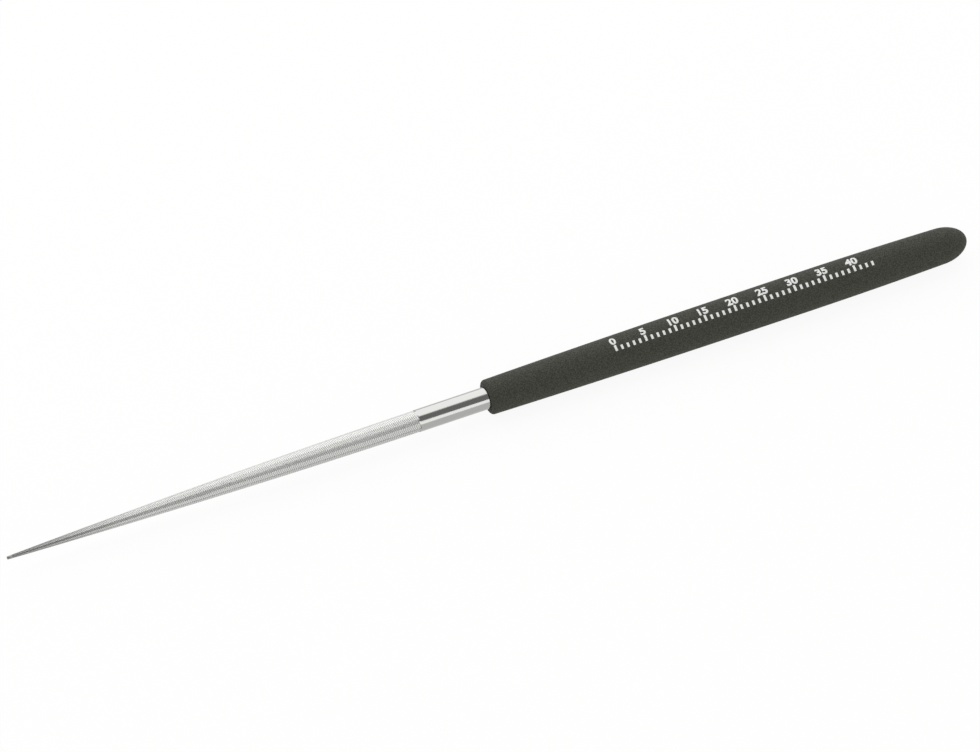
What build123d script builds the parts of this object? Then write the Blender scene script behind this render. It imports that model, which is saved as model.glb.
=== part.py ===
from build123d import *
import math
import os

# The part lies along X: the toothed blade points to +X, the grip lies at -X, and Z is up.
# The origin is on the axis, at the shoulder where the bare shank ends and the tang begins.

# Steel: one round rod, ground to a bellied taper in front and left plain behind it
rod_diameter = 3.5
shank_length = 11.5
cut_length = 68.0
tip_diameter = 0.5
nose_length = 1.0
nose_chamfer = 0.1
belly_power = 1.8
blade_step = 0.03

# Teeth: straight rows of slanted chisel cuts, every other row half a pitch further on
row_width = 1.1
row_lap = 0.05
tooth_pitch = 1.0
tooth_depth = 0.13
tooth_slant = 20
tooth_face_share = 0.25
tooth_depth_share = 0.25
stagger_share = 0.5

# Tang: the hidden end of the rod, turned down behind a shoulder, with rolled grooves that
# lock the moulded grip
shoulder_height = 0.2
grip_end_wall = 5.0
tang_chamfer = 0.5
groove_count = 3
first_groove = 9.0
groove_spacing = 14.0
groove_floor = 1.5
groove_flank = 0.5
groove_depth = 0.3

# Grip: soft vinyl, moulded over the tang and a little thicker towards its middle
grip_length = 80.4
grip_diameter = 6.2
mouth_diameter = 5.5
rear_diameter = 5.6
front_swell_length = 42.0
widest_length = 10.0
dome_length = 4.6
mouth_round_share = 0.4
mouth_gap = 0.1
bond_gap = 0.02

overrun = 0.5

rod_radius = rod_diameter / 2
tip_radius = tip_diameter / 2
tang_radius = rod_radius - shoulder_height
tip_x = shank_length + cut_length
teeth_end_x = tip_x - nose_length
mouth_x = -mouth_gap
widest_front_x = mouth_x - front_swell_length
widest_rear_x = widest_front_x - widest_length
grip_end_x = mouth_x - grip_length
dome_x = grip_end_x + dome_length
tang_end_x = grip_end_x + grip_end_wall
grip_radius = grip_diameter / 2
mouth_radius = mouth_diameter / 2
rear_radius = rear_diameter / 2
bore_radius = tang_radius + bond_gap

# The rows are an even number, so that plain and staggered ones take turns round the blade
row_pairs = round(math.pi * rod_diameter / row_width / 2)
row_angle = 180 / row_pairs
teeth_per_row = round((teeth_end_x - shank_length) / tooth_pitch)
pitch = (teeth_end_x - shank_length) / teeth_per_row


def crest_height(x):
    # Height of a row's tooth tops over the axis: flats of a polygon inside the bellied taper
    share = max(0, (x - shank_length) / cut_length)
    full_radius = rod_radius - blade_step
    corner_radius = full_radius - (full_radius - tip_radius) * share ** belly_power
    return corner_radius * math.cos(math.radians(row_angle / 2))


def root_height(x):
    return crest_height(x) - min(tooth_depth, tooth_depth_share * crest_height(x))


def tang_outline(gap):
    # Upper outline of the tang, from its first groove to its end, grown all round by a gap
    radius = tang_radius + gap
    half_floor = groove_floor / 2 - gap
    half_mouth = groove_floor / 2 + groove_flank - gap
    points = []
    for number in range(groove_count):
        middle = mouth_x - first_groove - number * groove_spacing
        points.append((middle + half_mouth, radius))
        points.append((middle + half_floor, radius - groove_depth))
        points.append((middle - half_floor, radius - groove_depth))
        points.append((middle - half_mouth, radius))
    points.append((tang_end_x + tang_chamfer - gap, radius))
    points.append((tang_end_x - gap, radius - tang_chamfer))
    points.append((tang_end_x - gap, 0))
    return points


def tooth_comb(stagger):
    # All that one row's chisel cuts take away, from above the rod down to a saw-tooth outline.
    # It stands over the Z axis, which is laid along the blade when the comb is placed.
    outline = [(rod_radius + overrun, shank_length + stagger)]
    for number in range(teeth_per_row):
        root = shank_length + stagger + number * pitch
        crest = root + pitch * (1 - tooth_face_share)
        outline.append((root_height(root), root))
        outline.append((crest_height(crest), crest))
    outline.append((root_height(teeth_end_x), teeth_end_x + stagger))
    outline.append((crest_height(tip_x), tip_x))
    outline.append((crest_height(tip_x), tip_x + overrun))
    outline.append((rod_radius + overrun, tip_x + overrun))
    half_width = rod_radius * math.tan(math.radians(row_angle / 2)) + row_lap
    along_cut = Vector(0, math.cos(math.radians(tooth_slant)), math.sin(math.radians(tooth_slant)))
    with BuildPart() as comb:
        with BuildSketch(Plane.XZ):
            with BuildLine():
                Polyline(*outline, close=True)
            make_face()
        extrude(amount=half_width / along_cut.Y, dir=along_cut, both=True)
    return comb.part


with BuildPart() as file_blade:
    with BuildSketch(Plane.XZ):
        with BuildLine():
            Polyline(
                (0, rod_radius),
                (0, tang_radius),
                *tang_outline(0),
                (tip_x, 0),
                (tip_x, tip_radius - nose_chamfer),
                (tip_x - nose_chamfer, tip_radius),
                (teeth_end_x, tip_radius),
                (teeth_end_x, rod_radius),
                close=True,
            )
        make_face()
    revolve(axis=Axis.X)
    for first_row, stagger in ((0, 0), (1, stagger_share * pitch)):
        comb = tooth_comb(stagger)
        with Locations(Plane.YZ):
            with PolarLocations(0, row_pairs, start_angle=first_row * row_angle):
                add(comb, mode=Mode.SUBTRACT)
file_blade.part.label = "file_blade"

with BuildPart() as grip:
    with BuildSketch(Plane.XZ):
        with BuildLine():
            Line((mouth_x, 0), (mouth_x, mouth_radius))
            TangentArc((widest_front_x, grip_radius), (mouth_x, mouth_radius), tangent=(1, 0))
            Line((widest_front_x, grip_radius), (widest_rear_x, grip_radius))
            TangentArc((widest_rear_x, grip_radius), (dome_x, rear_radius), tangent=(-1, 0))
            EllipticalCenterArc((dome_x, 0), dome_length, rear_radius, 90, arc_size=90)
            Line((grip_end_x, 0), (mouth_x, 0))
        make_face()
    revolve(axis=Axis.X)
    mouth_rim = grip.faces().sort_by(Axis.X)[-1].edges()
    fillet(mouth_rim, mouth_round_share * (mouth_radius - bore_radius))
    with BuildSketch(Plane.XZ):
        with BuildLine():
            Polyline((overrun, 0), (overrun, bore_radius), *tang_outline(bond_gap), close=True)
        make_face()
    revolve(axis=Axis.X, mode=Mode.SUBTRACT)
grip.part.label = "grip"

os.makedirs("parts", exist_ok=True)
export_step(file_blade.part, "parts/file_blade.step")
export_step(grip.part, "parts/grip.step")
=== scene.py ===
import math

import bmesh
import bpy
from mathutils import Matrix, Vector


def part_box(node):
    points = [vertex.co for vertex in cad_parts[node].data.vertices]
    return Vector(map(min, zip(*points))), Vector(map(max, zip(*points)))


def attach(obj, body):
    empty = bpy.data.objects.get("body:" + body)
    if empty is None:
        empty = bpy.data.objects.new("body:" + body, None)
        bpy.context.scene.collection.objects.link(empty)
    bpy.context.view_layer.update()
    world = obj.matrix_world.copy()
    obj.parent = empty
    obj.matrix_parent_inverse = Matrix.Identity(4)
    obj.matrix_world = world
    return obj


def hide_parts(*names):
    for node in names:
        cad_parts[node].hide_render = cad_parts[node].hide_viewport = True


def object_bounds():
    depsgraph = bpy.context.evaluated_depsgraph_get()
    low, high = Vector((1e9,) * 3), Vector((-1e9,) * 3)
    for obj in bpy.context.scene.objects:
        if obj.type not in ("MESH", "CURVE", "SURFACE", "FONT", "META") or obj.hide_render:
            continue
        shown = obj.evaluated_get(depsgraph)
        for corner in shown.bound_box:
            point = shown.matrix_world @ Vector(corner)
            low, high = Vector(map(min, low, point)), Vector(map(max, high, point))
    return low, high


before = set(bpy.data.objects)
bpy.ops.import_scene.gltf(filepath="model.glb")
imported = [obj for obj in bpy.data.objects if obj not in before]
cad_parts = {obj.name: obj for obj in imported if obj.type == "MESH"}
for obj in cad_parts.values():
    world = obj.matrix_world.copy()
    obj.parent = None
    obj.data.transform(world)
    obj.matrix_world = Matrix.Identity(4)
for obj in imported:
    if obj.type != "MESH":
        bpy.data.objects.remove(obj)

cad_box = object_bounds()

# Camera. The photograph looks down at about 47 degrees through a long lens. The places of the tip
# and of the closed end in a parallel view of it fix the turn, the scale and the framing.
photo_width = 980
photo_height = 752
tip_pixel = Vector((9.7, 557.1))
end_pixel = Vector((968.2, 236.9))
camera_elevation = math.radians(47)
camera_lens = 1000
camera_sensor = 36
camera_reach = 100

tip_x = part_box("file_blade")[1][0]
end_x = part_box("grip")[0][0]
pixel_span = end_pixel - tip_pixel
turn = math.atan(-pixel_span.y / pixel_span.x / math.sin(camera_elevation))
to_right = Vector((-math.cos(turn), math.sin(turn), 0))
level_ahead = Vector((-math.sin(turn), -math.cos(turn), 0))
ahead = level_ahead * math.cos(camera_elevation) - Vector((0, 0, math.sin(camera_elevation)))
to_top = to_right.cross(ahead)
seen_length = (tip_x - end_x) * math.sqrt(1 - ahead.x ** 2)
pixel_size = seen_length / pixel_span.length
middle_pixel = (tip_pixel + end_pixel) / 2
from_middle = Vector((photo_width / 2, photo_height / 2)) - middle_pixel
aim = Vector(((tip_x + end_x) / 2, 0, 0)) + (to_right * from_middle.x - to_top * from_middle.y) * pixel_size
camera_distance = photo_width * pixel_size * camera_lens / camera_sensor

camera_data = bpy.data.cameras.new("camera")
camera_data.lens = camera_lens
camera_data.sensor_width = camera_sensor
camera_data.clip_end = camera_reach
camera = bpy.data.objects.new("camera", camera_data)
camera.location = aim - ahead * camera_distance
camera.rotation_euler = ahead.to_track_quat("-Z", "Y").to_euler()
bpy.context.collection.objects.link(camera)
bpy.context.scene.camera = camera
bpy.context.scene.view_settings.view_transform = "Standard"

# Table top and light. The file lies on a sheet of white paper. A long soft light hangs behind it
# and a low one stands in front, with a dark card between them that gives the steel its dark line.
table_size = 6
paper_white = "FAFAF7"
paper_glow_share = 0.92
back_light = {"size": (2.4, 1.2), "elevation": 132, "distance": 0.7, "brightness": 0.95}
front_light = {"size": (2.4, 0.4), "elevation": 15, "distance": 0.8, "brightness": 0.9}
dark_card = {"size": (2.4, 0.61), "elevation": 57, "distance": 0.6, "brightness": 0.28}
room_brightness = 0.5
pure_white = "FFFFFF"


def linear(code):
    """Turns an sRGB hex colour into the linear colour that a socket takes."""
    channels = [int(code[place:place + 2], 16) / 255 for place in (0, 2, 4)]
    low = [channel / 12.92 for channel in channels]
    high = [((channel + 0.055) / 1.055) ** 2.4 for channel in channels]
    return [h if channel > 0.04045 else l for channel, l, h in zip(channels, low, high)] + [1]


def add_node(tree, kind, inputs=None, **settings):
    """Adds a node with its settings. An input given as a socket is linked, any other is set."""
    node = tree.nodes.new(kind)
    for name, value in settings.items():
        setattr(node, name, value)
    for name, value in (inputs or {}).items():
        if isinstance(value, bpy.types.NodeSocket):
            tree.links.new(value, node.inputs[name])
        else:
            node.inputs[name].default_value = value
    return node


def new_material(name):
    """Makes a material and gives it with its emptied node tree and its output node."""
    material = bpy.data.materials.new(name)
    material.use_nodes = True
    material.node_tree.nodes.clear()
    return material, material.node_tree, add_node(material.node_tree, "ShaderNodeOutputMaterial")


def add_seen_switch(tree):
    """Gives a socket that is 1 where a surface is seen, mirrored or looked at through glass."""
    path = add_node(tree, "ShaderNodeLightPath").outputs
    seen = path["Is Camera Ray"]
    for kind in ("Is Glossy Ray", "Is Transmission Ray"):
        seen = add_node(tree, "ShaderNodeMath", {0: seen, 1: path[kind]}, operation="MAXIMUM").outputs[0]
    return seen


def add_flat(name, width, height, centre, facing):
    """Adds a flat rectangle that faces a direction."""
    tilt = facing.to_track_quat("Z", "Y")
    corners = [(-1, -1), (1, -1), (1, 1), (-1, 1)]
    points = [tilt @ Vector((x * width / 2, y * height / 2, 0)) + centre for x, y in corners]
    mesh = bpy.data.meshes.new(name)
    mesh.from_pydata(points, [], [range(len(points))])
    flat = bpy.data.objects.new(name, mesh)
    bpy.context.collection.objects.link(flat)
    return flat


def away_from_file(elevation):
    """A direction in the plane across the file. Elevation 0 is level in front, 180 level behind."""
    return Vector((0, math.cos(math.radians(elevation)), math.sin(math.radians(elevation))))


def add_soft_light(name, size, elevation, distance, brightness):
    """Hangs a rectangular lamp that faces the file and is as bright as white paper times brightness."""
    lamp_data = bpy.data.lights.new(name, "AREA")
    lamp_data.shape = "RECTANGLE"
    lamp_data.size, lamp_data.size_y = size
    lamp_data.energy = brightness * math.pi * size[0] * size[1]
    lamp = bpy.data.objects.new(name, lamp_data)
    lamp.location = away_from_file(elevation) * distance
    lamp.rotation_euler = away_from_file(elevation).to_track_quat("Z", "Y").to_euler()
    bpy.context.collection.objects.link(lamp)


table_z = cad_box[0].z
table = add_flat("table", table_size, table_size, Vector((0, 0, table_z)), Vector((0, 0, 1)))
paper, paper_tree, paper_output = new_material("white_paper_sheet")
paper_matte = add_node(paper_tree, "ShaderNodeBsdfDiffuse", {"Color": linear(paper_white)})
paper_glow = add_node(paper_tree, "ShaderNodeEmission", {"Color": linear(pure_white), "Strength": 1})
paper_seen = add_seen_switch(paper_tree)
paper_share = add_node(
    paper_tree, "ShaderNodeMath", {0: paper_seen, 1: paper_glow_share}, operation="MULTIPLY"
)
paper_mix = add_node(
    paper_tree,
    "ShaderNodeMixShader",
    {0: paper_share.outputs[0], 1: paper_matte.outputs[0], 2: paper_glow.outputs[0]},
)
paper_tree.links.new(paper_mix.outputs[0], paper_output.inputs["Surface"])
table.data.materials.append(paper)

add_soft_light("back_light", **back_light)
add_soft_light("front_light", **front_light)

card_direction = away_from_file(dark_card["elevation"])
card = add_flat("dark_card", *dark_card["size"], card_direction * dark_card["distance"], -card_direction)
card.visible_camera = False
card.visible_shadow = False
card.visible_diffuse = False
card_paint, card_tree, card_output = new_material("dark_grey_card")
card_glow = add_node(
    card_tree, "ShaderNodeEmission", {"Color": linear(pure_white), "Strength": dark_card["brightness"]}
)
card_tree.links.new(card_glow.outputs[0], card_output.inputs["Surface"])
card.data.materials.append(card_paint)

world = bpy.data.worlds.new("white_room")
bpy.context.scene.world = world
world.use_nodes = True
room_tree = world.node_tree
room_tree.nodes.clear()
room_fill = add_node(
    room_tree, "ShaderNodeBackground", {"Color": linear(pure_white), "Strength": room_brightness}
)
room_white = add_node(room_tree, "ShaderNodeBackground", {"Color": linear(pure_white), "Strength": 1})
room_mix = add_node(
    room_tree,
    "ShaderNodeMixShader",
    {0: add_seen_switch(room_tree), 1: room_fill.outputs[0], 2: room_white.outputs[0]},
)
add_node(room_tree, "ShaderNodeOutputWorld", {"Surface": room_mix.outputs[0]})

# Steel file. One rod of hard-plated tool steel: a hidden tang with three lock grooves, a plain
# polished shank, and a blade ground to a bellied taper whose teeth are chiselled in slanted cuts,
# row beside row, with every other row half a pitch further on.
mm = 0.001
rod_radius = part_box("file_blade")[1][2]
tang_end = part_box("file_blade")[0][0]
shank_length = 11.5 * mm
cut_length = tip_x - shank_length
tip_radius = 0.25 * mm
nose_length = 0.5 * mm
nose_round = 0.12 * mm
nose_steps = 6
shoulder_height = 0.2 * mm
shoulder_edge = 0.06 * mm
groove_count = 3
first_groove = 9.1 * mm
groove_spacing = 14 * mm
groove_floor = 1.5 * mm
groove_flank = 0.5 * mm
groove_depth = 0.3 * mm
tang_chamfer = 0.5 * mm
belly_power = 1.8
blade_step = 0.03 * mm
tooth_rows = 14
columns_per_row = 7
row_turn = math.tau / (tooth_rows * columns_per_row)
tooth_pitch = 0.3 * mm
tooth_depth = 0.05 * mm
tooth_slant = 20
point_merge = 0.001 * mm
seam_merge = 0.002 * mm
blade_edge_angle = 28


def lathe(outline, columns):
    """Turns points of (x, radius) about the X axis into rings of faces. A radius of 0 is a pole."""
    shape = bmesh.new()
    rings = []
    for x, radius in outline:
        ring = []
        for column in range(columns if radius > 0 else 1):
            angle = math.tau * (column + 0.5) / columns
            ring.append(shape.verts.new((x, radius * math.cos(angle), radius * math.sin(angle))))
        rings.append(ring)
    for near, far in zip(rings, rings[1:]):
        for column in range(columns):
            following = (column + 1) % columns
            corners = [near[column % len(near)], far[column % len(far)], far[following % len(far)]]
            if len(near) > 1 and len(far) > 1:
                corners.append(near[following])
            if len(far) == 1:
                corners = [near[column], far[0], near[following]]
            shape.faces.new(corners)
    return shape


def rounded(corner_x, corner_radius, round_x, round_radius, steps):
    """Quarter-ellipse points from beside a corner, along X, to below it."""
    points = []
    for step in range(steps + 1):
        angle = math.pi / 2 * step / steps
        x = corner_x - round_x * (1 - math.sin(angle))
        points.append((x, corner_radius - round_radius * (1 - math.cos(angle))))
    return points


def link_mesh(name, mesh, body):
    """Puts a finished mesh into the scene as a piece that rides on a body."""
    piece = bpy.data.objects.new(name, mesh)
    bpy.context.collection.objects.link(piece)
    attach(piece, body)
    return piece


def new_geometry_tree(name, sizes):
    """Makes a Geometry Nodes tree with named number inputs, and gives it with its input node."""
    tree = bpy.data.node_groups.new(name, "GeometryNodeTree")
    tree.interface.new_socket("Geometry", in_out="OUTPUT", socket_type="NodeSocketGeometry")
    for label, value in sizes.items():
        kind = "NodeSocketInt" if isinstance(value, int) else "NodeSocketFloat"
        tree.interface.new_socket(label, in_out="INPUT", socket_type=kind)
    return tree, add_node(tree, "NodeGroupInput")


def grow(tree, sizes):
    """Runs a Geometry Nodes tree with its sizes and gives the plain mesh that comes out."""
    seed = bpy.data.objects.new(tree.name, bpy.data.meshes.new(tree.name))
    bpy.context.collection.objects.link(seed)
    modifier = seed.modifiers.new(tree.name, "NODES")
    modifier.node_group = tree
    for item in tree.interface.items_tree:
        if item.in_out == "INPUT":
            modifier[item.identifier] = sizes[item.name]
    evaluated = seed.evaluated_get(bpy.context.evaluated_depsgraph_get())
    mesh = bpy.data.meshes.new_from_object(evaluated)
    seed.modifiers.clear()
    bpy.data.objects.remove(seed)
    return mesh


teeth_end = tip_x - nose_length
teeth_per_row = round((teeth_end - shank_length) / tooth_pitch) - 1
tooth_sizes = {
    "Rows": tooth_rows,
    "Columns per Row": columns_per_row,
    "Teeth per Row": teeth_per_row,
    "Start": shank_length,
    "End": teeth_end,
    "Cut Length": cut_length,
    "Rod Radius": rod_radius,
    "Blade Step": blade_step,
    "Tip Radius": tip_radius,
    "Belly Power": belly_power,
    "Tooth Depth": tooth_depth,
    "Slant": math.radians(tooth_slant),
    "Row Turn": row_turn,
}
teeth_tree, sizes_in = new_geometry_tree("chiselled_teeth", tooth_sizes)

# A sheet of points is rolled round the blade. Each tooth takes three rings of it: its root, a place
# on its back, and its crest. One more ring at each end meets the shank and the nose.
rings_per_tooth = 3
first_root_share = 0.3
back_share = 0.45
back_height = 0.6
crest_share = 0.86
stagger_share = 0.5
depth_share = 0.25

# Each step names the outcome of one sum on sizes, numbers and earlier steps
sheet_steps = (
    ("columns round", "MULTIPLY", "Rows", "Columns per Row"),
    ("points round", "ADD", "columns round", 1),
    ("rings along", "MULTIPLY_ADD", "Teeth per Row", rings_per_tooth, 2),
    ("middle of point", "ADD", "index", 0.5),
    ("rings passed", "DIVIDE", "middle of point", "points round"),
    ("ring", "FLOOR", "rings passed"),
    ("points passed", "MULTIPLY", "ring", "points round"),
    ("column", "SUBTRACT", "index", "points passed"),
    ("middle of column", "ADD", "column", 0.5),
    ("rows passed", "DIVIDE", "middle of column", "Columns per Row"),
    ("row", "FLOOR", "rows passed"),
    ("share of row", "SUBTRACT", "rows passed", "row"),
    ("place in row", "SUBTRACT", "share of row", 0.5),
    ("row angle", "DIVIDE", math.tau, "Rows"),
    ("angle round", "MULTIPLY_ADD", "rows passed", "row angle", "Row Turn"),
    ("angle in row", "MULTIPLY", "place in row", "row angle"),
)
tooth_steps = (
    ("last cut ring", "SUBTRACT", "rings along", 1.5),
    ("first ring", "LESS_THAN", "ring", 0.5),
    ("last ring", "GREATER_THAN", "ring", "last cut ring"),
    ("end ring", "ADD", "first ring", "last ring"),
    ("cut ring", "SUBTRACT", 1, "end ring"),
    ("cut rings passed", "SUBTRACT", "ring", 1),
    ("ring in tooth", "FLOORED_MODULO", "cut rings passed", rings_per_tooth),
    ("rings to tooth", "SUBTRACT", "cut rings passed", "ring in tooth"),
    ("tooth", "DIVIDE", "rings to tooth", rings_per_tooth),
    ("on back", "COMPARE", "ring in tooth", 1, 0.5),
    ("on crest", "COMPARE", "ring in tooth", 2, 0.5),
    ("height", "MULTIPLY_ADD", "on back", back_height, "on crest"),
    ("odd row", "FLOORED_MODULO", "row", 2),
    ("share at root", "MULTIPLY_ADD", "odd row", stagger_share, first_root_share),
    ("share at back", "MULTIPLY_ADD", "on back", back_share, "share at root"),
    ("share of pitch", "MULTIPLY_ADD", "on crest", crest_share, "share at back"),
)
along_steps = (
    ("toothed length", "SUBTRACT", "End", "Start"),
    ("pitches", "ADD", "Teeth per Row", 1),
    ("pitch", "DIVIDE", "toothed length", "pitches"),
    ("width in row", "MULTIPLY", "angle in row", "Rod Radius"),
    ("slope of cut", "TANGENT", "Slant"),
    ("start of cut", "MULTIPLY_ADD", "width in row", "slope of cut", "Start"),
    ("pitches passed", "ADD", "tooth", "share of pitch"),
    ("place of cut", "MULTIPLY_ADD", "pitches passed", "pitch", "start of cut"),
    ("place of tooth", "MINIMUM", "place of cut", "End"),
    ("place at start", "MULTIPLY", "first ring", "Start"),
    ("place at ends", "MULTIPLY_ADD", "last ring", "End", "place at start"),
    ("x", "MULTIPLY_ADD", "cut ring", "place of tooth", "place at ends"),
)
radius_steps = (
    ("distance along", "SUBTRACT", "x", "Start"),
    ("share along", "DIVIDE", "distance along", "Cut Length"),
    ("taper", "MAXIMUM", "share along", 0),
    ("belly", "POWER", "taper", "Belly Power"),
    ("full radius", "SUBTRACT", "Rod Radius", "Blade Step"),
    ("whole fall", "SUBTRACT", "full radius", "Tip Radius"),
    ("fall", "MULTIPLY", "whole fall", "belly"),
    ("bellied radius", "SUBTRACT", "full radius", "fall"),
    ("half row angle", "MULTIPLY", "row angle", 0.5),
    ("flat of row", "COSINE", "half row angle"),
    ("bend in row", "COSINE", "angle in row"),
    ("flatness", "DIVIDE", "flat of row", "bend in row"),
    ("crest radius", "MULTIPLY", "bellied radius", "flatness"),
    ("greatest depth", "MULTIPLY", "bellied radius", depth_share),
    ("depth", "MINIMUM", "Tooth Depth", "greatest depth"),
    ("depth left", "SUBTRACT", 1, "height"),
    ("cut away", "MULTIPLY", "depth", "depth left"),
    ("tooth radius", "SUBTRACT", "crest radius", "cut away"),
    ("radius at start", "MULTIPLY", "first ring", "Rod Radius"),
    ("radius at ends", "MULTIPLY_ADD", "last ring", "Tip Radius", "radius at start"),
    ("radius", "MULTIPLY_ADD", "cut ring", "tooth radius", "radius at ends"),
    ("sideways share", "COSINE", "angle round"),
    ("upward share", "SINE", "angle round"),
    ("y", "MULTIPLY", "radius", "sideways share"),
    ("z", "MULTIPLY", "radius", "upward share"),
    ("shown height", "MULTIPLY_ADD", "cut ring", "height", "end ring"),
)
known = {label: sizes_in.outputs[label] for label in tooth_sizes}
known["index"] = add_node(teeth_tree, "GeometryNodeInputIndex").outputs[0]
for step, operation, *values in sheet_steps + tooth_steps + along_steps + radius_steps:
    inputs = {place: known.get(value, value) for place, value in enumerate(values)}
    known[step] = add_node(teeth_tree, "ShaderNodeMath", inputs, operation=operation).outputs[0]

sheet = add_node(
    teeth_tree,
    "GeometryNodeMeshGrid",
    {"Vertices X": known["rings along"], "Vertices Y": known["points round"]},
)
place = add_node(teeth_tree, "ShaderNodeCombineXYZ", {"X": known["x"], "Y": known["y"], "Z": known["z"]})
rolled = add_node(
    teeth_tree, "GeometryNodeSetPosition", {"Geometry": sheet.outputs["Mesh"], "Position": place.outputs[0]}
)
marked = add_node(
    teeth_tree,
    "GeometryNodeStoreNamedAttribute",
    {"Geometry": rolled.outputs[0], "Name": "tooth_height", "Value": known["shown height"]},
    data_type="FLOAT",
    domain="POINT",
)
closed = add_node(
    teeth_tree, "GeometryNodeMergeByDistance", {"Geometry": marked.outputs[0], "Distance": point_merge}
)
real = add_node(teeth_tree, "GeometryNodeRealizeInstances", {"Geometry": closed.outputs[0]})
steel, steel_tree, steel_output = new_material("hard_plated_tool_steel")
finished = add_node(teeth_tree, "GeometryNodeSetMaterial", {"Geometry": real.outputs[0], "Material": steel})
add_node(teeth_tree, "NodeGroupOutput", {"Geometry": finished.outputs[0]})
teeth_mesh = grow(teeth_tree, tooth_sizes)

tang_radius = rod_radius - shoulder_height


def tang_outline(gap):
    """Points of (x, radius) along the grooved tang, from its closed end forward, grown by a gap."""
    radius = tang_radius + gap
    low = tang_end - gap
    half_floor = groove_floor / 2 - gap
    half_mouth = half_floor + groove_flank
    points = [(low, 0), (low, radius - tang_chamfer), (low + tang_chamfer, radius)]
    for number in reversed(range(groove_count)):
        middle = -first_groove - number * groove_spacing
        points.append((middle - half_mouth, radius))
        points.append((middle - half_floor, radius - groove_depth))
        points.append((middle + half_floor, radius - groove_depth))
        points.append((middle + half_mouth, radius))
    return points


rear_outline = tang_outline(0)
rear_outline.append((0, tang_radius))
rear_outline.append((0, rod_radius - shoulder_edge))
rear_outline.append((shoulder_edge, rod_radius))
rear_outline.append((shank_length, rod_radius))
nose_outline = [(teeth_end, tip_radius)]
nose_outline.extend(rounded(tip_x, tip_radius, nose_round, nose_round, nose_steps))
nose_outline.append((tip_x, 0))

columns = tooth_rows * columns_per_row
blade_shape = lathe(rear_outline, columns)
height_layer = blade_shape.verts.layers.float.new("tooth_height")
for vert in blade_shape.verts:
    vert[height_layer] = 1
nose_shape = lathe(nose_outline, columns)
nose_layer = nose_shape.verts.layers.float.new("tooth_height")
for vert in nose_shape.verts:
    vert[nose_layer] = 0
nose_mesh = bpy.data.meshes.new("nose")
nose_shape.to_mesh(nose_mesh)
nose_shape.free()
blade_shape.from_mesh(nose_mesh)
blade_shape.from_mesh(teeth_mesh)
bmesh.ops.remove_doubles(blade_shape, verts=blade_shape.verts, dist=seam_merge)
bmesh.ops.recalc_face_normals(blade_shape, faces=blade_shape.faces)
for face in blade_shape.faces:
    face.smooth = True
    face.material_index = 0
blade_mesh = bpy.data.meshes.new("toothed_blade")
blade_shape.to_mesh(blade_mesh)
blade_shape.free()
blade_mesh.set_sharp_from_angle(angle=math.radians(blade_edge_angle))
blade_mesh.materials.append(steel)
blade = link_mesh("toothed_blade", blade_mesh, "root")
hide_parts("file_blade")

# Hard chrome on tool steel: a neutral bright metal, glassy on the polished shank, where faint lines
# run round it, and satin on the teeth, whose crests shine and whose roots are painted darker, partly
# residue and partly painted shade in the cuts. The teeth are also painted darker over the last stretch
# to the tip, a painted shade. Real polish lines are about 0.02 mm apart and are drawn at 0.15 mm, which
# still shows.
polish_line = 0.15 * mm
polish_line_length = 1.5 * mm
chrome_grain = 0.25 * mm
chrome_relief = 0.005 * mm
# Painted shade: the teeth are painted darker over this stretch before the tip.
painted_shade_length = 24 * mm
shank_colour = "ACACAA"
# Roots are painted darker than crests: partly residue, partly painted shade in the cuts.
root_shade_and_residue_colour, crest_colour = "9C9C9A", "DCDCDA"
# Painted shade: darker copies of the tooth colours, used for the stretch before the tip.
shaded_tip_root_colour, shaded_tip_crest_colour = "7B7B79", "AAAAA8"
smoothest_shank, roughest_shank = 0.07, 0.15
smoothest_teeth, roughest_teeth = 0.4, 0.54
noise_low, noise_high = 0.3, 0.7
steel_place = add_node(steel_tree, "ShaderNodeTexCoord").outputs["Object"]
steel_axes = add_node(steel_tree, "ShaderNodeSeparateXYZ", {0: steel_place})
toothed = add_node(
    steel_tree,
    "ShaderNodeMapRange",
    {"Value": steel_axes.outputs["X"], "From Min": shank_length, "From Max": shank_length + tooth_pitch},
    interpolation_type="SMOOTHSTEP",
).outputs[0]
lines_place = add_node(
    steel_tree,
    "ShaderNodeMapping",
    {"Vector": steel_place, "Scale": (1 / polish_line, 1 / polish_line_length, 1 / polish_line_length)},
)
lines = add_node(
    steel_tree,
    "ShaderNodeTexNoise",
    {"Vector": lines_place.outputs[0], "Scale": 1, "Detail": 3, "Roughness": 0.6},
).outputs[0]
grain = add_node(
    steel_tree,
    "ShaderNodeTexNoise",
    {"Vector": steel_place, "Scale": 1 / chrome_grain, "Detail": 4, "Roughness": 0.6},
).outputs[0]
noise_range = {"From Min": noise_low, "From Max": noise_high}
shank_roughness = add_node(
    steel_tree,
    "ShaderNodeMapRange",
    {"Value": lines, "To Min": smoothest_shank, "To Max": roughest_shank} | noise_range,
).outputs[0]
teeth_roughness = add_node(
    steel_tree,
    "ShaderNodeMapRange",
    {"Value": grain, "To Min": smoothest_teeth, "To Max": roughest_teeth} | noise_range,
).outputs[0]
steel_roughness = add_node(
    steel_tree,
    "ShaderNodeMix",
    {"Factor": toothed, 2: shank_roughness, 3: teeth_roughness},
    data_type="FLOAT",
).outputs[0]
height_seen = add_node(steel_tree, "ShaderNodeAttribute", attribute_name="tooth_height").outputs["Fac"]
# Root to crest by tooth height: the darker roots are partly residue and partly painted shade.
rear_teeth = add_node(
    steel_tree,
    "ShaderNodeMix",
    {"Factor": height_seen, 6: linear(root_shade_and_residue_colour), 7: linear(crest_colour)},
    data_type="RGBA",
).outputs[2]
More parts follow.
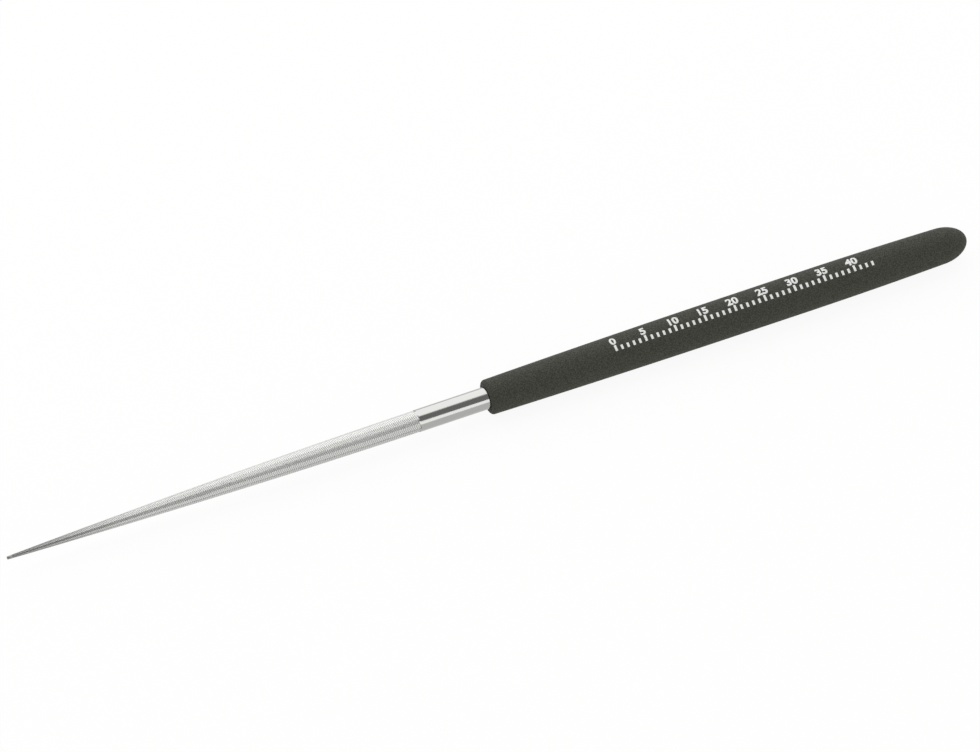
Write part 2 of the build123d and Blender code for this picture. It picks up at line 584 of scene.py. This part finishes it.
# Painted shade at the tip: the tooth colours mixed from the darker copies.
shaded_tip_teeth = add_node(
    steel_tree,
    "ShaderNodeMix",
    {"Factor": height_seen, 6: linear(shaded_tip_root_colour), 7: linear(shaded_tip_crest_colour)},
    data_type="RGBA",
).outputs[2]
# Mask of the painted shade, rising over the last stretch to the tip.
tip_shade_mask = add_node(
    steel_tree,
    "ShaderNodeMapRange",
    {"Value": steel_axes.outputs["X"], "From Min": tip_x - painted_shade_length, "From Max": tip_x},
    interpolation_type="SMOOTHSTEP",
).outputs[0]
teeth_colour = add_node(
    steel_tree, "ShaderNodeMix", {"Factor": tip_shade_mask, 6: rear_teeth, 7: shaded_tip_teeth}, data_type="RGBA"
).outputs[2]
steel_colour = add_node(
    steel_tree,
    "ShaderNodeMix",
    {"Factor": toothed, 6: linear(shank_colour), 7: teeth_colour},
    data_type="RGBA",
).outputs[2]
steel_relief = add_node(
    steel_tree, "ShaderNodeMix", {"Factor": toothed, 2: lines, 3: grain}, data_type="FLOAT"
).outputs[0]
steel_bump = add_node(
    steel_tree, "ShaderNodeBump", {"Height": steel_relief, "Strength": 0.5, "Distance": chrome_relief}
).outputs[0]
steel_shader = add_node(
    steel_tree,
    "ShaderNodeBsdfPrincipled",
    {"Metallic": 1, "Base Color": steel_colour, "Roughness": steel_roughness, "Normal": steel_bump},
)
steel_tree.links.new(steel_shader.outputs[0], steel_output.inputs["Surface"])

# Grip. Soft black vinyl moulded over the tang, whose grooves it fills. It is round and a little
# thicker towards its middle, with a rounded rim at its mouth and a full round at the closed end.
grip_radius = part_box("grip")[1][2]
mouth_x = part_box("grip")[1][0]
mouth_radius = 2.75 * mm
rear_radius = 2.8 * mm
mouth_round = 0.47 * mm
front_swell_length = 42 * mm
widest_length = 10 * mm
dome_length = 4.6 * mm
bond_gap = 0.02 * mm
grip_columns = 160
grip_rings = 80
dome_rings = 24
rim_steps = 10
grip_edge_angle = 40

widest_front = mouth_x - front_swell_length
widest_rear = widest_front - widest_length
dome_x = end_x + dome_length


def grip_radius_at(x):
    """Radius of the grip between its mouth and the start of its dome."""
    if x > widest_front:
        return grip_radius - (grip_radius - mouth_radius) * ((x - widest_front) / front_swell_length) ** 2
    if x < widest_rear:
        return grip_radius - (grip_radius - rear_radius) * ((widest_rear - x) / (widest_rear - dome_x)) ** 2
    return grip_radius


grip_outline = tang_outline(bond_gap)
grip_outline.append((mouth_x, tang_radius + bond_gap))
rim_x = mouth_x - mouth_round
rim = rounded(mouth_x, grip_radius_at(rim_x), mouth_round, mouth_round, rim_steps)
grip_outline.extend(reversed(rim))
for step in range(1, grip_rings):
    x = rim_x + (dome_x - rim_x) * step / grip_rings
    grip_outline.append((x, grip_radius_at(x)))
for step in range(dome_rings):
    angle = math.pi / 2 * step / dome_rings
    grip_outline.append((dome_x - dome_length * math.sin(angle), rear_radius * math.cos(angle)))
grip_outline.append((end_x, 0))
grip_shape = lathe(grip_outline, grip_columns)
bmesh.ops.recalc_face_normals(grip_shape, faces=grip_shape.faces)
for face in grip_shape.faces:
    face.smooth = True
grip_mesh = bpy.data.meshes.new("vinyl_grip")
grip_shape.to_mesh(grip_mesh)
grip_shape.free()
grip_mesh.set_sharp_from_angle(angle=math.radians(grip_edge_angle))

# Soft PVC, moulded: a near-black, slightly olive matte skin with a fine pebble from the mould, whose
# pits are duller than its tops and painted darker as shade, and a faint waviness from cooling. The real
# pebble is about 0.1 mm and is drawn at 0.22 mm, so that it shows.
vinyl_pebble = 0.22 * mm
pebble_depth = 0.04 * mm
pebble_top_share, pebble_foot_share = 0.1, 0.8
vinyl_wave = 6 * mm
wave_depth = 0.05 * mm
pit_shade_colour, vinyl_top_colour = "2F2F28", "3D3D34"
pit_roughness, vinyl_top_roughness = 0.92, 0.7
vinyl, vinyl_tree, vinyl_output = new_material("moulded_soft_vinyl")
vinyl_place = add_node(vinyl_tree, "ShaderNodeTexCoord").outputs["Object"]
pebble_cells = add_node(
    vinyl_tree, "ShaderNodeTexVoronoi", {"Vector": vinyl_place, "Scale": 1 / vinyl_pebble}
).outputs["Distance"]
pebble_range = {"From Min": pebble_top_share, "From Max": pebble_foot_share, "To Min": 1, "To Max": 0}
pebble = add_node(
    vinyl_tree,
    "ShaderNodeMapRange",
    {"Value": pebble_cells} | pebble_range,
    interpolation_type="SMOOTHSTEP",
).outputs[0]
wave = add_node(
    vinyl_tree, "ShaderNodeTexNoise", {"Vector": vinyl_place, "Scale": 1 / vinyl_wave, "Detail": 2}
).outputs[0]
# The pits are painted darker than the tops: painted shade in the pebble's hollows.
vinyl_colour = add_node(
    vinyl_tree,
    "ShaderNodeMix",
    {"Factor": pebble, 6: linear(pit_shade_colour), 7: linear(vinyl_top_colour)},
    data_type="RGBA",
).outputs[2]
vinyl_roughness = add_node(
    vinyl_tree,
    "ShaderNodeMapRange",
    {"Value": pebble, "To Min": pit_roughness, "To Max": vinyl_top_roughness},
).outputs[0]
wave_bump = add_node(
    vinyl_tree, "ShaderNodeBump", {"Height": wave, "Strength": 0.6, "Distance": wave_depth}
).outputs[0]
pebble_bump = add_node(
    vinyl_tree,
    "ShaderNodeBump",
    {"Height": pebble, "Strength": 1, "Distance": pebble_depth, "Normal": wave_bump},
).outputs[0]
vinyl_shader = add_node(
    vinyl_tree,
    "ShaderNodeBsdfPrincipled",
    {"Base Color": vinyl_colour, "Roughness": vinyl_roughness, "IOR": 1.5, "Normal": pebble_bump},
)
vinyl_tree.links.new(vinyl_shader.outputs[0], vinyl_output.inputs["Surface"])
grip_mesh.materials.append(vinyl)
grip = link_mesh("vinyl_grip", grip_mesh, "root")
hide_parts("grip")

# Printed scale. A plain millimetre scale in white ink, pad-printed on the top of the grip as a thin
# film that follows the round. It reads from the mouth to the closed end, with a number every 5 mm.
scale_start = -21.2 * mm
scale_ticks = 44
tick_spacing = 1 * mm
tick_width = 0.38 * mm
tick_length = 0.75 * mm
ticks_per_number = 5
number_tick_length = 1 * mm
number_height = 1.5 * mm
number_gap = 0.12 * mm
number_weight = 0.04
scale_height = number_tick_length + number_gap + number_height
scale_angle = math.radians(83)
ink_thickness = 0.008 * mm
ink_overlap = 0.004 * mm
bend_step = 0.15 * mm
cut_tolerance = 0.0001 * mm


def wrap_round_grip(shape):
    """Bends a flat print, x along the grip and y across it, onto the grip as a closed thin film."""
    for step in range(1, math.ceil(scale_height / bend_step)):
        parts = shape.verts[:] + shape.edges[:] + shape.faces[:]
        bmesh.ops.bisect_plane(
            shape, geom=parts, plane_co=(0, step * bend_step, 0), plane_no=(0, 1, 0), dist=cut_tolerance
        )
    bmesh.ops.remove_doubles(shape, verts=shape.verts, dist=point_merge)
    flat_faces = shape.faces[:]
    film = bmesh.ops.extrude_face_region(shape, geom=flat_faces, use_keep_orig=True)
    raised = {element for element in film["geom"] if isinstance(element, bmesh.types.BMVert)}
    for vert in shape.verts:
        along, across, _ = vert.co
        angle = scale_angle + (across - scale_height / 2) / grip_radius
        depth = grip_radius_at(scale_start - along) + (ink_thickness if vert in raised else -ink_overlap)
        vert.co = (scale_start - along, depth * math.cos(angle), depth * math.sin(angle))
    bmesh.ops.recalc_face_normals(shape, faces=shape.faces)


scale_shape = bmesh.new()
for number in range(0, scale_ticks, ticks_per_number):
    figure_data = bpy.data.curves.new("scale_number", "FONT")
    figure_data.body = str(number)
    figure_data.align_x = "CENTER"
    figure_data.offset = number_weight
    figure = bpy.data.objects.new("scale_number", figure_data)
    bpy.context.collection.objects.link(figure)
    figure_seen = figure.evaluated_get(bpy.context.evaluated_depsgraph_get())
    figure_mesh = bpy.data.meshes.new_from_object(figure_seen)
    bpy.data.objects.remove(figure)
    lowest = min(vert.co.y for vert in figure_mesh.vertices)
    grow_by = number_height / (max(vert.co.y for vert in figure_mesh.vertices) - lowest)
    for vert in figure_mesh.vertices:
        vert.co.x = vert.co.x * grow_by + number * tick_spacing
        vert.co.y = (vert.co.y - lowest) * grow_by + number_tick_length + number_gap
    scale_shape.from_mesh(figure_mesh)
tick_sizes = {
    "Ticks": scale_ticks,
    "Spacing": tick_spacing,
    "Width": tick_width,
    "Length": tick_length,
    "Number Length": number_tick_length,
    "Every": ticks_per_number,
}
ticks_tree, sizes_in = new_geometry_tree("printed_ticks", tick_sizes)
size = sizes_in.outputs
step_along = add_node(ticks_tree, "ShaderNodeCombineXYZ", {"X": size["Spacing"]})
stations = add_node(
    ticks_tree, "GeometryNodeMeshLine", {"Count": size["Ticks"], "Offset": step_along.outputs[0]}
)
tick = add_node(
    ticks_tree,
    "GeometryNodeMeshGrid",
    {"Size X": size["Width"], "Size Y": 1.0, "Vertices X": 2, "Vertices Y": 2},
)
lift = add_node(
    ticks_tree, "GeometryNodeTransform", {"Geometry": tick.outputs["Mesh"], "Translation": (0, 0.5, 0)}
)
tick_index = add_node(ticks_tree, "GeometryNodeInputIndex").outputs[0]
place_in_five = add_node(
    ticks_tree, "ShaderNodeMath", {0: tick_index, 1: size["Every"]}, operation="FLOORED_MODULO"
)
is_numbered = add_node(
    ticks_tree, "ShaderNodeMath", {0: place_in_five.outputs[0], 1: 0.5}, operation="LESS_THAN"
)
length = add_node(
    ticks_tree, "ShaderNodeMix", {0: is_numbered.outputs[0], 2: size["Length"], 3: size["Number Length"]}
)
stretch = add_node(ticks_tree, "ShaderNodeCombineXYZ", {"X": 1.0, "Y": length.outputs[0], "Z": 1.0})
ticks = add_node(
    ticks_tree,
    "GeometryNodeInstanceOnPoints",
    {"Points": stations.outputs[0], "Instance": lift.outputs[0], "Scale": stretch.outputs[0]},
)
ink, ink_tree, ink_output = new_material("pad_printed_white_ink")
real = add_node(ticks_tree, "GeometryNodeRealizeInstances", {"Geometry": ticks.outputs[0]})
finished = add_node(ticks_tree, "GeometryNodeSetMaterial", {"Geometry": real.outputs[0], "Material": ink})
add_node(ticks_tree, "NodeGroupOutput", {"Geometry": finished.outputs[0]})
scale_shape.from_mesh(grow(ticks_tree, tick_sizes))
wrap_round_grip(scale_shape)
for face in scale_shape.faces:
    face.material_index = 0
scale_mesh = bpy.data.meshes.new("printed_scale")
scale_shape.to_mesh(scale_mesh)
scale_shape.free()
scale_mesh.materials.append(ink)

# White pad-printing ink: a thin matte film, a little uneven, with pinholes where the vinyl's pebble
# shows through. Real pinholes are under 0.05 mm and are drawn at 0.12 mm.
ink_speck = 0.12 * mm
pinhole_level, covered_level = 0.28, 0.4
thin_ink_colour, ink_white = "A4A49F", "E8E8E6"
smoothest_ink, roughest_ink = 0.45, 0.65
ink_place = add_node(ink_tree, "ShaderNodeTexCoord").outputs["Object"]
speck = add_node(
    ink_tree, "ShaderNodeTexNoise", {"Vector": ink_place, "Scale": 1 / ink_speck, "Detail": 2}
).outputs[0]
cover = add_node(
    ink_tree, "ShaderNodeMapRange", {"Value": speck, "From Min": pinhole_level, "From Max": covered_level}
).outputs[0]
ink_colour = add_node(
    ink_tree,
    "ShaderNodeMix",
    {"Factor": cover, 6: linear(thin_ink_colour), 7: linear(ink_white)},
    data_type="RGBA",
).outputs[2]
ink_roughness = add_node(
    ink_tree, "ShaderNodeMapRange", {"Value": speck, "To Min": smoothest_ink, "To Max": roughest_ink}
).outputs[0]
ink_shader = add_node(
    ink_tree, "ShaderNodeBsdfPrincipled", {"Base Color": ink_colour, "Roughness": ink_roughness, "IOR": 1.5}
)
ink_tree.links.new(ink_shader.outputs[0], ink_output.inputs["Surface"])
scale = link_mesh("printed_scale", scale_mesh, "root")
